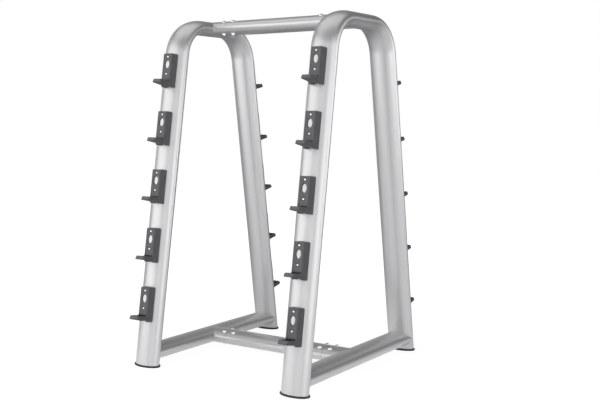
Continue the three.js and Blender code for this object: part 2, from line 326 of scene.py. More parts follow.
def hexagon_socket(first_ring: int) -> RingShape:
    """Shape of a turned head whose last rings are a hexagon socket.

    A hexagon's radius, as a share of its corner radius, is cos 30 over the cosine of the angle from the
    middle of a flat.

    Args:
        first_ring: Number of the socket's first ring.

    Returns:
        The shape, for revolved().
    """

    def scale(ring: np.ndarray, angle: np.ndarray) -> np.ndarray:
        """Scale of the radius: a hexagon's in the socket, and 1 outside it.

        Args:
            ring: Number of the ring.
            angle: Angle round the head.

        Returns:
            The scale.
        """
        hexagon = math.cos(math.pi / 6) / np.cos(np.mod(angle, np.pi / 3) - np.pi / 6)
        return np.where(ring >= first_ring, hexagon, 1.0)

    return scale


def square_end(place: float) -> EndShape:
    """Shape of a tube's end that is cut square.

    Args:
        place: Where the cut lies along the tube.

    Returns:
        The shape, for OvalTube.straight().
    """

    def end(across: np.ndarray, up: np.ndarray) -> np.ndarray:
        """The same place for every point of the section.

        Args:
            across: Distances across.
            up: Distances upwards; not used.

        Returns:
            Places along the tube.
        """
        return np.full_like(across, place)

    return end


@dataclass(frozen=True)
class PowderCoat:
    """Silver powder coat, sprayed and baked on steel: fine metal flake under a soft orange-peel gloss."""

    name: str = "silver_powder_coat"
    colour: str = "#CCCCCD"
    flake_colour: str = "#DADADB"
    metallic: float = 0.5
    roughness: float = 0.35
    flake_mm: float = 1.2  # drawn several times coarser than real flake, so that it shows at all
    peel_mm: float = 5.0
    peel_depth_mm: float = 0.02
    gloss_spread: float = 0.03  # the bake leaves some stretches a little duller than others
    cloud_scale: float = 9.0  # such stretches in a metre

    def build(self) -> bpy.types.Material:
        """Make the material.

        Returns:
            The powder coat.
        """
        material, tree, shader = principled(self.name, Metallic=self.metallic)
        place = add_node(tree, "ShaderNodeTexCoord").outputs["Object"]
        flake = add_node(tree, "ShaderNodeTexNoise", Vector=place, Scale=1 / (self.flake_mm * MM), Detail=2.0)
        tint = mixed(tree, flake.outputs["Fac"], linear(self.colour), linear(self.flake_colour))
        tree.links.new(tint, shader.inputs["Base Color"])
        cloud = add_node(tree, "ShaderNodeTexNoise", Vector=place, Scale=self.cloud_scale, Detail=4.0)
        ends = self.roughness - self.gloss_spread, self.roughness + self.gloss_spread
        tree.links.new(ramp(tree, cloud.outputs["Fac"], ends), shader.inputs["Roughness"])
        peel = add_node(tree, "ShaderNodeTexNoise", Vector=place, Scale=1 / (self.peel_mm * MM), Detail=1.0)
        add_relief(shader, peel.outputs["Fac"], self.peel_depth_mm, strength=1.0)
        return material


@dataclass(frozen=True)
class MouldedPlastic:
    """Charcoal polyurethane, cast in a grained mould: matte, with painted shade on the seat and in the crease
    above it.
    """

    name: str = "charcoal_moulded_plastic"
    colour: str = "#828284"
    low_colour: str = "#747476"
    # painted shade: near-black colour for the seat and the crease at the panel's base, where shade falls
    seat_shade_colour: str = "#232325"
    roughness: float = 0.68
    sheen_level: float = 0.25  # the fine grain leaves about half of a smooth plastic's mirror light
    cloud_scale: float = 40.0  # clouds in a metre
    grain_mm: float = 1.1
    grain_depth_mm: float = 0.06

    def build(self) -> bpy.types.Material:
        """Make the material. A mesh attribute says where shade is painted on the seat.

        Returns:
            The plastic.
        """
        material, tree, shader = principled(
            self.name, Roughness=self.roughness, Specular_IOR_Level=self.sheen_level
        )
        place = add_node(tree, "ShaderNodeTexCoord").outputs["Object"]
        cloud = add_node(tree, "ShaderNodeTexNoise", Vector=place, Scale=self.cloud_scale, Detail=5.0)
        tint = mixed(tree, cloud.outputs["Fac"], linear(self.low_colour), linear(self.colour))
        # painted shade: the seat and the crease above it turn near-black
        painted_shade = add_node(tree, "ShaderNodeAttribute", {"attribute_name": "painted_seat_shade"})
        shaded_tint = mixed(tree, painted_shade.outputs["Fac"], tint, linear(self.seat_shade_colour))
        tree.links.new(shaded_tint, shader.inputs["Base Color"])
        grain = add_node(tree, "ShaderNodeTexVoronoi", Vector=place, Scale=1 / (self.grain_mm * MM))
        add_relief(shader, grain.outputs["Distance"], self.grain_depth_mm, strength=0.6)
        return material


@dataclass(frozen=True)
class MouldedRubber:
    """Black rubber, compression moulded: dull, with faint dust-grey mottling."""

    name: str = "black_moulded_rubber"
    colour: str = "#1B1B1D"
    dust_colour: str = "#2C2C2E"
    roughness: float = 0.62
    mottle_mm: float = 7.0
    mottle_depth_mm: float = 0.1

    def build(self) -> bpy.types.Material:
        """Make the material.

        Returns:
            The rubber.
        """
        material, tree, shader = principled(self.name, Roughness=self.roughness)
        place = add_node(tree, "ShaderNodeTexCoord").outputs["Object"]
        mottle_scale = 1 / (self.mottle_mm * MM)
        mottle = add_node(tree, "ShaderNodeTexNoise", Vector=place, Scale=mottle_scale, Detail=6.0)
        tint = mixed(tree, mottle.outputs["Fac"], linear(self.colour), linear(self.dust_colour))
        tree.links.new(tint, shader.inputs["Base Color"])
        add_relief(shader, mottle.outputs["Fac"], self.mottle_depth_mm, strength=0.5)
        return material


@dataclass(frozen=True)
class PlatedMetal:
    """Plated steel hardware: a bright metal whose polish varies a little over the surface."""

    name: str
    colour: str
    roughness: float
    spread: float
    patch_mm: float

    def build(self) -> bpy.types.Material:
        """Make the material.

        Returns:
            The plated metal.
        """
        material, tree, shader = principled(self.name, Metallic=1.0, Base_Color=linear(self.colour))
        place = add_node(tree, "ShaderNodeTexCoord").outputs["Object"]
        cloud = add_node(tree, "ShaderNodeTexNoise", Vector=place, Scale=1 / (self.patch_mm * MM), Detail=3.0)
        ends = self.roughness - self.spread, self.roughness + self.spread
        tree.links.new(ramp(tree, cloud.outputs["Fac"], ends), shader.inputs["Roughness"])
        return material


def principled(name: str, **values: object) -> tuple[bpy.types.Material, bpy.types.NodeTree, bpy.types.Node]:
    """Start a material with a Principled shader.

    Args:
        name: Name of the material.
        **values: Values for the shader's sockets, named with underscores for spaces.

    Returns:
        The material, its node tree and the shader.
    """
    material = bpy.data.materials.new(name)
    material.use_nodes = True
    tree = material.node_tree
    tree.nodes.clear()
    shader = add_node(tree, "ShaderNodeBsdfPrincipled", **values)
    add_node(tree, "ShaderNodeOutputMaterial", Surface=shader.outputs["BSDF"])
    return material, tree, shader


@dataclass
class Finishes:
    """The rack's materials, one for each slot of the record."""

    materials: dict[Slot, bpy.types.Material] = field(default_factory=dict)

    def __post_init__(self) -> None:
        """Build every material once."""
        kinds = {
            Slot.SILVER_PAINT: PowderCoat(),
            Slot.CHARCOAL_PLASTIC: MouldedPlastic(),
            Slot.BLACK_RUBBER: MouldedRubber(),
            Slot.ZINC_STEEL: PlatedMetal("zinc_plated_steel", "#B9BCC0", 0.38, 0.08, 6.0),
            Slot.CHROME: PlatedMetal("bright_nickel_plate", "#F2F3F4", 0.16, 0.05, 4.0),
        }
        self.materials = {slot: kind.build() for slot, kind in kinds.items()}

    def dress(self, piece: bpy.types.Object, slot: Slot) -> None:
        """Give a piece the one material of a slot."""
        piece.data.materials.clear()
        piece.data.materials.append(self.materials[slot])

    def place(
        self, name: str, mesh: bpy.types.Mesh, slot: Slot, stands_for: Sequence[str] = ()
    ) -> bpy.types.Object:
        """Put a finished mesh into the scene as a piece of the rack.

        Args:
            name: Name of the piece.
            mesh: Its mesh, already in place.
            slot: Slot whose material it takes.
            stands_for: CAD nodes that it replaces.

        Returns:
            The piece.
        """
        piece = bpy.data.objects.new(name, mesh)
        bpy.context.scene.collection.objects.link(piece)
        self.dress(piece, slot)
        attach(piece, BODY)
        if stands_for:
            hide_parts(*stands_for)
        LOG.info("%s: %d faces", name, len(mesh.polygons))
        return piece


@dataclass(frozen=True)
class OvalTube:
    """Oval steel tube of the frame, whose long axis lies level everywhere."""

    half_width: float = 65.5
    half_depth: float = 34.0
    wall: float = 3.0
    sides: int = 96

    def ring(self, inset: float = 0.0) -> tuple[np.ndarray, np.ndarray]:
        """Section as an ellipse: half width times cosine across, half depth times sine upwards."""
        angle = np.linspace(0, 2 * np.pi, self.sides, endpoint=False)
        return (self.half_width - inset) * np.cos(angle), (self.half_depth - inset) * np.sin(angle)

    def rise(self, across: np.ndarray) -> np.ndarray:
        """Height of the surface above the axis: half depth times root of 1 - (across / half width)^2."""
        return self.half_depth * np.sqrt(np.clip(1 - (across / self.half_width) ** 2, 0, 1))

    def outward(self, across: np.ndarray, up: np.ndarray) -> np.ndarray:
        """Direction out of the surface: across over half width squared, and up over half depth squared."""
        sideways, upwards = across / self.half_width**2, up / self.half_depth**2
        return np.stack([sideways, np.zeros_like(across), upwards], axis=-1)

    def straight(
        self, start: EndShape, end: EndShape, bevels: tuple[float, float] = (0.0, 0.0)
    ) -> np.ndarray:
        """A straight length as a closed grid: the outer wall one way and the bore back.

        Args:
            start: Where the near end lies along the tube, from the distances across and upwards.
            end: The same for the far end.
            bevels: Size of the bevel on the outer edge of each end.

        Returns:
            Distances across, along and upwards, shape (rows, sides, 3).
        """
        rows = []
        ends = ((start, bevels[0], 1), (end, bevels[1], -1))
        for shape, bevel, inwards in ends:
            cuts = [(0.0, 0.0)]
            if bevel:  # the last ring keeps the bevel's shading off the long wall
                cuts = [(bevel, 0.0), (0.3 * bevel, 0.3 * bevel), (0.0, bevel), (0.0, 2 * bevel)]
            for inset, back in cuts[::inwards]:
                across, up = self.ring(inset)
                rows.append(np.stack([across, shape(across, up) + inwards * back, up], axis=-1))
        across, up = self.ring(self.wall)
        rows += [np.stack([across, shape(across, up), up], axis=-1) for shape in (end, start)]
        return np.stack(rows)


@dataclass(frozen=True)
class WeldBead:
    """Thin fillet weld, ground and painted over, with the faint ripple of its stops."""

    radius: float = 1.5
    least_radius: float = 0.5
    ripple: float = 0.08
    ripple_pitch: float = 5.0
    sides: int = 10

    def along(self, seam: np.ndarray, normal: np.ndarray, strength: np.ndarray) -> Surface:
        """A round section carried along a closed seam.

        The section's radius goes from the least to the full radius with the strength, times a cosine
        ripple of the distance along the seam.

        Args:
            seam: Points of the seam, shape (count, 3).
            normal: A direction across the seam at each point, shape (count, 3).
            strength: From 0 to 1 at each point.

        Returns:
            The closed bead.
        """
        tangent = np.roll(seam, -1, axis=0) - np.roll(seam, 1, axis=0)
        tangent /= np.linalg.norm(tangent, axis=1, keepdims=True)
        side = np.cross(tangent, normal)
        side /= np.linalg.norm(side, axis=1, keepdims=True)
        out = np.cross(side, tangent)
        travelled = np.cumsum(np.linalg.norm(np.roll(seam, -1, axis=0) - seam, axis=1))
        wave = 1 + self.ripple * np.cos(2 * np.pi * travelled / self.ripple_pitch)
        radius = (self.least_radius + (self.radius - self.least_radius) * strength) * wave
        angle = np.linspace(0, 2 * np.pi, self.sides, endpoint=False)[None, :, None]
        ring = np.cos(angle) * out[:, None] + np.sin(angle) * side[:, None]
        return Surface.grid(seam[:, None] + radius[:, None, None] * ring, close_rows=True, close_columns=True)


@dataclass(frozen=True)
class LegLine:
    """The straight lower part of a hoop's leg: its axis leans towards the rack's middle."""

    reach: float = 472.0
    slope: float = 0.154

    @property
    def lean(self) -> float:
        """Angle of the leg from upright, in radians."""
        return math.atan(self.slope)

    def axis(self, height: np.ndarray | float) -> np.ndarray | float:
        """Distance of the leg's axis from the rack's middle: the reach less slope times height."""
        return self.reach - self.slope * height

    def stand(self, side: Side, facing: Facing, height: float, hoop_x: float) -> Matrix:
        """Placement of something on a leg, drawn with -Y outwards and +Z up the leg.

        Args:
            side: Hoop that it is on.
            facing: Leg of the hoop that it is on.
            height: Height of its origin on the leg's axis.
            hoop_x: Distance of the hoops from the rack's middle.

        Returns:
            The matrix, for meshes in metres.
        """
        across = Matrix.Translation((side.value * hoop_x * MM, 0, 0))
        turn = Matrix.Rotation(0 if facing is Facing.FRONT else math.pi, 4, "Z")
        lift = Matrix.Translation((0, -self.axis(height) * MM, height * MM))
        return across @ turn @ lift @ Matrix.Rotation(-self.lean, 4, "X")


@dataclass
class Saddle:
    """Moulded saddle: a shell on the leg with a sunk panel, an oval recess, two screws and a ledge.

    Drawn on the leg with -Y outwards and +Z up the leg, from the middle of the screw pair. "Out" is the
    distance from the leg's axis.
    """

    tube: OvalTube = OvalTube()
    clearance: float = 0.3
    panel_out: float = 64.6
    panel_half: float = 19.0
    panel_top: float = 50.5
    rim_out: float = 66.0
    bottom: float = -100.0  # of the toes, at the leg
    front_bottom: float = -92.8
    toe_step: tuple[float, float] = (56.0, 60.5)  # out, where the toes end and where the step ends
    arch_crest: float = -92.0
    arch_half: tuple[float, float] = (9.0, 17.0)  # where its crest ends and where its feet stand
    screw_height: float = 40.0
    pocket_radius: float = 7.5
    pocket_depth: float = 3.5
    recess_half: tuple[float, float] = (13.2, 20.2)
    recess_centre: float = 4.0
    recess_depth: float = 4.6
    plate_half: tuple[float, float] = (10.6, 18.1)
    edge_round: float = 0.7
    row_marks: tuple[float, float, float] = (-64.0, -20.0, 28.0)  # between tail, pockets and recess
    row_counts: tuple[int, int, int, int] = (4, 8, 12, 6)
    rim_start: tuple[float, float] = (1.8, 1.5)  # from the panel's edge to the rounding, at flank and top
    flank_round: tuple[float, float] = (7.2, 13.0)  # its reach sideways and back
    top_round: tuple[float, float] = (2.5, 2.5)  # its reach upwards and back
    screw_head: tuple[float, float] = (4.4, 1.8)  # radius and height of its rim
    seat_height: float = -73.5
    seat_dish: float = 0.8
    dish_side: tuple[float, float] = (19.6, 1.4)  # across, where the dish starts to rise and how far
    dish_front: tuple[float, float] = (109.0, 7.0)  # out, the same towards the nose
    seat_fillet: float = 8.0
    seat_out: float = 122.3
    nose_out: float = 126.3
    nose_bottom: float = -90.5
    nose_round: float = 4.0
    ledge_half: float = 24.5
    ledge_corner: float = 7.0
    ledge_root: tuple[float, float] = (57.0, -94.0)
    side_round: float = 2.0
    columns: int = 20
    fan: int = 6

    def edges(self) -> list[np.ndarray]:
        """Heights of the panel's rows, for the tail, lower pocket, recess and upper pocket in turn."""
        marks = (self.front_bottom, *self.row_marks, self.panel_top)
        return [np.linspace(low, high, n + 1) for low, high, n in zip(marks, marks[1:], self.row_counts)]

    def section(self) -> np.ndarray:
        """Section of the wall from the panel's edge back to the leg, at the flank and at the top.

        A small step up to the rim, a quarter ellipse, and a straight run that lands on the tube.

        Returns:
            Rows of offset at the flank and at the top, out at the flank and at the top, and share of the
            way to the tube.
        """
        beta = np.linspace(0, np.pi / 2, 9)
        flank = self.rim_start[0] + self.flank_round[0] * np.sin(beta)
        top = self.rim_start[1] + self.top_round[0] * np.sin(beta)
        flank_out = self.rim_out - self.flank_round[1] * (1 - np.cos(beta))
        top_out = self.rim_out - self.top_round[1] * (1 - np.cos(beta))
        rounding = np.stack([flank, top, flank_out, top_out, np.zeros_like(beta)], axis=-1)
        rise = ((0.0, self.panel_out), (0.5, self.rim_out - 0.2), (0.8, self.rim_out))
        step = [[offset, offset, out, out, 0.0] for offset, out in rise]
        end = [top[-1], flank_out[-1], top_out[-1]]
        landing = [[11.0, *end, 0.5], [13.0, *end, 1.0]]
        return np.vstack([step, rounding, landing])

    def underside(self, out: np.ndarray, across: np.ndarray) -> np.ndarray:
        """Height of the shell's lower end: toes against the leg, a step up in front, an arch between them.

        The step and the arch's two feet are smooth steps of the distance out and of the distance across.

        Args:
            out: Distances out.
            across: Distances across.

        Returns:
            The heights.
        """
        step_in, step_out = self.toe_step
        risen = smoothstep((out - step_in) / (step_out - step_in))
        plane = self.bottom + (self.front_bottom - self.bottom) * risen
        crest_half, foot_half = self.arch_half
        lift = 1 - smoothstep((np.abs(across) - crest_half) / (foot_half - crest_half))
        return plane + np.maximum(self.arch_crest - plane, 0) * lift

    def panel(self, edge: np.ndarray) -> Surface:
        """Plain stretch of the panel as a flat grid, from the heights of its rows."""
        across, up = np.meshgrid(np.linspace(-self.panel_half, self.panel_half, self.columns + 1), edge)
        return Surface.grid(np.stack([across, np.full_like(across, -self.panel_out), up], axis=-1))

    def sunk_panel(self, edge: np.ndarray, hole: tuple[float, float, float], depth: float) -> Surface:
        """Stretch of the panel with a blind oval hole: rings blend from the oval to the rectangle round it.

        Args:
            edge: Heights of its rows.
            hole: Centre height, half width and half height of the hole.
            depth: Depth of the hole.

        Returns:
            The surface, with the hole's rounded edge, wall and floor.
        """
        centre, hole_half, hole_rise = hole
        half, columns = self.panel_half, self.columns
        row = np.linspace(-half, half, columns + 1)
        flank = np.full(len(edge) - 1, half)
        across = np.concatenate([row[:-1], flank, row[:0:-1], -flank])
        up = np.concatenate([np.full(columns, edge[0]), edge[:-1], np.full(columns, edge[-1]), edge[:0:-1]])
        middle = (edge[0] + edge[-1]) / 2
        angle = np.arctan2((up - middle) / (edge[-1] - middle), across / half)
        turn = np.linspace(0, np.pi / 2, 5)
        grown = np.concatenate([[0.0], self.edge_round * (1 - np.cos(turn))])[:, None]
        sunk = np.concatenate([[depth], self.edge_round * (1 - np.sin(turn))])[:, None]
        ring_across = (hole_half + grown) * np.cos(angle)
        ring_up = centre + (hole_rise + grown) * np.sin(angle)
        ring_back = np.broadcast_to(sunk - self.panel_out, ring_up.shape)
        rings = np.stack([ring_across, ring_back, ring_up], axis=-1)
        outline = np.stack([across, np.full_like(across, -self.panel_out), up], axis=-1)
        blends = [rings[-1] + share * (outline - rings[-1]) for share in (0.4, 1.0)]
        wall = Surface.grid(np.concatenate([rings, np.stack(blends)]), close_columns=True)
        return Surface.joined([wall, Surface.polygon(rings[0])])

    def skirt(self) -> np.ndarray:
        """Wall from the panel's edge back to the leg, carried up one side, over the top and down.

        Its section's sizes blend by the squared sine of the direction from flank to top, and its feet
        stand on the underside.

        Returns:
            Points of shape (section points, stations, 3).
        """
        half, top = self.panel_half, self.panel_top
        heights = np.unique(np.concatenate(self.edges()))
        corner = np.linspace(0, np.pi / 2, self.fan + 1)[1:-1]
        row = np.linspace(half, -half, self.columns + 1)
        flank, fan = np.full(len(heights), half), np.full(len(corner), half)
        across = np.concatenate([flank, fan, row, -fan, -flank])
        up = np.concatenate([heights, np.full(2 * len(corner) + len(row), top), heights[::-1]])
        upwards = np.full(len(row), np.pi / 2)
        course = np.concatenate([0 * flank, corner, upwards, np.pi - corner[::-1], np.pi + 0 * flank])
        share = np.sin(course) ** 2
        flank_offset, top_offset, flank_out, top_out, step = self.section().T[:, :, None]
        offset = flank_offset + (top_offset - flank_offset) * share
        out = flank_out + (top_out - flank_out) * share
        across = across + offset * np.cos(course)
        height = up + offset * np.sin(course)
        out = out + (self.clearance + self.tube.rise(across) - out) * step
        height = np.where(up == heights[0], self.underside(out, across), height)
        return np.stack([across, -out, height], axis=-1)

    def shell(self) -> Surface:
        """The closed shell: panel, holes and skirt, then the underside and the back that follows the tube.

        Returns:
            The surface.
        """
        tail, lower, middle, upper = self.edges()
        pocket = (self.pocket_radius, self.pocket_radius)
        surfaces = [
            self.panel(tail),
            self.sunk_panel(lower, (-self.screw_height, *pocket), self.pocket_depth),
            self.sunk_panel(middle, (self.recess_centre, *self.recess_half), self.recess_depth),
            self.sunk_panel(upper, (self.screw_height, *pocket), self.pocket_depth),
        ]
        skirt = self.skirt()
        surfaces.append(Surface.grid(skirt))
        spread = np.linspace(1, -1, self.columns + 1)
        offset, _, out, _, step = self.section().T[:, :, None]
        across = (self.panel_half + offset) * spread
        out = out + (self.clearance + self.tube.rise(across) - out) * step
        surfaces.append(Surface.grid(np.stack([across, -out, self.underside(out, across)], axis=-1)))
        edge = skirt[-1, : skirt.shape[1] // 2 - self.columns // 2 + 1]
        across = edge[:, :1] * spread
        out = self.clearance + self.tube.rise(across)
        up = np.repeat(edge[:, 2:], len(spread), axis=1)
        up[0] = self.underside(out[0], across[0])
        surfaces.append(Surface.grid(np.stack([across, -out, up], axis=-1)))
        return Surface.joined(surfaces)

    def ledge(self) -> Surface:
        """The ledge: its side view carried across, drawn in at the two rounded front corners.

        The seat is dished a little between its side edges, and the nose slants out to its foot.

        Returns:
            The closed surface.
        """
        flat = self.ledge_half - self.side_round
        end = np.linspace(0, np.pi / 2, 8)
        # closer together at the dish's edge
        inner = np.array([0.0, 6.0, 12.0, 16.0, 17.5, 18.5, 19.2, 19.8, 20.4, 21.0, 21.6])
        half = np.concatenate([inner, flat + self.side_round * np.sin(end)])
        drawn_in = np.concatenate([0 * inner, self.side_round * (1 - np.cos(end))])
        across = np.concatenate([-half[:0:-1], half])
        inset = np.concatenate([drawn_in[:0:-1], drawn_in])[:, None]
        corner = np.clip(np.abs(across) - self.ledge_half + self.ledge_corner, 0, self.ledge_corner)[:, None]
        back = self.ledge_corner - np.sqrt(self.ledge_corner**2 - corner**2) + inset
        top_nose, foot_nose = self.seat_out - back, self.nose_out - back
        turn = np.linspace(0, np.pi / 2, 7)[None, :]
        swell = self.nose_round
        rising = smoothstep((np.abs(across) - self.dish_side[0]) / self.dish_side[1])
        dish = self.seat_dish * (1 - rising)[:, None]
        fillet_out = self.panel_out + self.seat_fillet * (1 - np.cos(turn)) + 0 * back
        fillet_up = self.seat_height + self.seat_fillet * (1 - np.sin(turn)) - inset - dish
        run = fillet_out[:, -1:] + (top_nose - swell - fillet_out[:, -1:]) * np.linspace(0, 1, 12)[None, 1:]
        flattened = smoothstep((run - self.dish_front[0]) / self.dish_front[1])
        run_up = self.seat_height - inset - dish * (1 - flattened)
        nose_out = top_nose - swell * (1 - np.sin(turn))
        nose_up = self.seat_height - inset - swell * (1 - np.cos(turn))
        foot_out = foot_nose - swell * (1 - np.cos(turn))
        foot_up = self.nose_bottom + inset + swell * (1 - np.sin(turn))
        root_out, root_bottom = self.ledge_root
        root = np.full_like(back, root_out)
        out = np.hstack([root, fillet_out, run, nose_out, foot_out, root])
        up = np.hstack([fillet_up[:, :1], fillet_up, run_up, nose_up, foot_up, root_bottom + inset])
        return Surface.capped(np.stack([np.repeat(across[:, None], out.shape[1], axis=1), -out, up], axis=-1))

    def body(self) -> bpy.types.Mesh:
        """The whole moulding as one mesh, with the attribute that says where shade is painted on the seat.

        The painted shade is a product of steps, all smooth but the one at the panel: in from the ledge's
        sides, down and up to the seat, out from the panel and back from the nose.

        Returns:
            The mesh.
        """
        made = Surface.joined([self.shell(), self.ledge()]).mesh("saddle")
        place = np.empty(len(made.vertices) * 3, np.float32)
        made.vertices.foreach_get("co", place)
        across, back, up = place.reshape(-1, 3).T / MM
        sides = smoothstep((24.2 - np.abs(across)) / 1.6)
        above = smoothstep((self.seat_height + 7.0 - up) / 4.0)
        below = smoothstep((up - self.seat_height + 2.5) / 1.5)
        panel = -back > self.panel_out - 0.4
        nose = smoothstep((118.0 + back) / 18.0)
        # painted shade: near-black over the seat and up the crease at the panel's base, lighter towards the
        # nose
        painted_shade = made.attributes.new("painted_seat_shade", "FLOAT", "POINT")
        painted_shade.data.foreach_set("value", (sides * above * below * panel * nose).astype(np.float32))
        return made

    def screws(self) -> bpy.types.Mesh:
        """Two domed screws with small hexagon sockets, seated in the pockets.

        Returns:
            One mesh of both.
        """
        floor = self.panel_out - self.pocket_depth
        radius, rim = self.screw_head
        turn = np.linspace(0, np.pi / 2, 8)[1:]
        crown = np.stack([1.1 + 3.3 * np.cos(turn), rim + 1.5 * np.sin(turn)], axis=-1)
        socket = [[1.0, 3.2], [0.9, 2.6]]
        rings = np.array([[radius, -0.4], [radius, rim], *crown.tolist(), *socket])
        head = revolved(rings, 36, hexagon_socket(len(rings) - len(socket)))
        x, y, z = head.points.T
        places = [np.stack([x, -floor - z, y + sign * self.screw_height], axis=-1) for sign in (-1, 1)]
        return Surface.joined([Surface(place, head.faces) for place in places]).mesh("saddle_screws")

    def plate(self) -> bpy.types.Mesh:
        """Blank oval plate on the recess's floor: rings of an ellipse that rise over a rounded edge.

        Returns:
            The mesh.
        """
        floor = self.panel_out - self.recess_depth
        turn = np.linspace(0, np.pi / 2, 5)
        rim_in = np.concatenate([[0.0], 0.5 * (1 - np.cos(turn)), [2.0, 5.0, 8.5]])
        rise = np.concatenate([[-0.2], 0.4 + 0.5 * np.sin(turn), [0.98, 1.08, 1.14]])
        angle = np.linspace(0, 2 * np.pi, 64, endpoint=False)[None, :]
        share = 1 - rim_in[:, None] / self.plate_half[0]
        x = self.plate_half[0] * share * np.cos(angle)
        z = self.recess_centre + self.plate_half[1] * share * np.sin(angle)
        points = np.stack([x, np.broadcast_to(-floor - rise[:, None], x.shape), z], axis=-1)
        return Surface.capped(points).mesh("blank_plate")


@dataclass
class Hoop:
    """One hoop of bent tube with its low rail, feet and saddles."""

    side: Side
    finishes: Finishes
    tube: OvalTube = OvalTube()
    leg: LegLine = LegLine()
    bend_radius: float = 157.0
    bend_steps: int = 28
    foot_height: float = 8.5
    low_height: float = 58.0
    saddle_heights: tuple[float, ...] = (297.5, 562.5, 827.5, 1092.5, 1357.5)
    foot_overhang: float = 5.0
    foot_round: float = 2.8
    sole_inset: float = 9.0
    parting_line: float = 0.35  # its depth, and half its width
    plug_gap: float = 0.6
    plug_height: float = 24.0
    plug_taper: float = 3.0

    def __post_init__(self) -> None:
        """Read the hoop's place and height from the frame."""
        low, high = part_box(f"{self.name}_hoop")
        self.x = (low.x + high.x) / 2 / MM
        self.top_axis = high.z / MM - self.tube.half_depth

    @property
    def name(self) -> str:
        """Name of the hoop's side, as the nodes have it."""
        return self.side.name.lower()

    def bent_tube(self) -> Surface:
        """The hoop: the oval ring carried up a leg, round a bend, along the top and down again.

        Stations of the front half are the leg's level cut, the bend's arc by its angle, and they are
        mirrored for the rear half. The grid runs along the outer wall and back along the bore.

        Returns:
            The closed surface.
        """
        lean = self.leg.lean
        setback = self.bend_radius * math.tan((math.pi / 2 - lean) / 2)
        centre = setback - self.leg.axis(self.top_axis), self.top_axis - self.bend_radius
        angle = np.linspace(lean, np.pi / 2, self.bend_steps + 1)
        path_y = centre[0] - self.bend_radius * np.cos(angle)
        path_z = centre[1] + self.bend_radius * np.sin(angle)
        walls = []
        for inset in (0.0, self.tube.wall):
            across, up = self.tube.ring(inset)
            y = path_y[:, None] - np.cos(angle)[:, None] * up
            z = path_z[:, None] + np.sin(angle)[:, None] * up
            slide = (self.foot_height - z[0]) / math.cos(lean)
            y = np.vstack([y[0] + slide * math.sin(lean), y])
            z = np.vstack([z[0] + slide * math.cos(lean), z])
            half = np.stack([np.broadcast_to(across, y.shape), y, z], axis=-1)
            rear = half[::-1] * np.array([1.0, -1.0, 1.0])
            walls.append(np.concatenate([half, rear]))
        points = np.concatenate([walls[0], walls[1][::-1]])
        return Surface.grid(points + [self.x, 0, 0], close_rows=True, close_columns=True)

    def rail_end(self, facing: Facing) -> EndShape:
        """Where the leg's inner face lies along Y, for the coped end of the low rail.

        Args:
            facing: The leg.

        Returns:
            The shape, for OvalTube.straight().
        """
        level_half_depth = self.tube.half_depth / math.cos(self.leg.lean)

        def end(across: np.ndarray, up: np.ndarray) -> np.ndarray:
            """The leg's axis at this height, less the oval's bulge: level half depth times the root.

            Args:
                across: Distances across.
                up: Distances above the rail's axis.

            Returns:
                Places along Y.
            """
            bulge = level_half_depth * np.sqrt(np.clip(1 - (across / self.tube.half_width) ** 2, 0, 1))
            return facing.value * (self.leg.axis(self.low_height + up) - bulge)

        return end

    def low_rail(self) -> tuple[Surface, Surface]:
        """The low rail, coped to both legs, and its two weld beads.

        Returns:
            The rail's surface and the beads'.
        """
        place = np.array([self.x, 0, self.low_height])
        rail = self.tube.straight(self.rail_end(Facing.FRONT), self.rail_end(Facing.REAR))
        across, up = self.tube.ring()
        normal = self.tube.outward(across, up)
        beads = []
        for facing in Facing:
            seam = np.stack([across, self.rail_end(facing)(across, up), up], axis=-1) + place
            beads.append(WeldBead().along(seam, normal, np.ones(len(across))))
        return Surface.grid(rail + place, close_rows=True, close_columns=True), Surface.joined(beads)

    def foot(self, facing: Facing) -> Surface:
        """Rubber foot: an oval tread with a rounded edge and a parting line, and a plug inside the leg.

        Each ring is the leg's level section grown by an offset, shifted with the lean above the tread.

        Args:
            facing: The leg that it is under.

        Returns:
            The closed surface.
        """
        turn = np.linspace(0, np.pi / 2, 7)
        soft, line = self.foot_round, self.parting_line
        edge = self.foot_overhang
        rings = [(-self.sole_inset, 0.0)]
        rings += [(edge - soft + soft * math.sin(t), soft - soft * math.cos(t)) for t in turn]
        middle = self.foot_height / 2
        rings += [(edge, middle - line), (edge - line, middle), (edge, middle + line)]
        shoulder = self.foot_height - soft
        rings += [(edge - soft + soft * math.cos(t), shoulder + soft * math.sin(t)) for t in turn]
        bore = -self.tube.wall - self.plug_gap
        rings += [(bore, self.foot_height), (bore, self.plug_height - self.plug_taper)]
        rings += [(bore - self.plug_taper, self.plug_height)]
        angle = np.linspace(0, 2 * np.pi, self.tube.sides, endpoint=False)
        level_half_depth = self.tube.half_depth / math.cos(self.leg.lean)
        grown, height = np.array(rings).T
        x = self.x + (self.tube.half_width + grown)[:, None] * np.cos(angle)
        centre = self.leg.axis(np.maximum(height, self.foot_height))[:, None]
        y = facing.value * centre + (level_half_depth + grown)[:, None] * np.sin(angle)
        return Surface.capped(np.stack([x, y, np.broadcast_to(height[:, None], x.shape)], axis=-1))

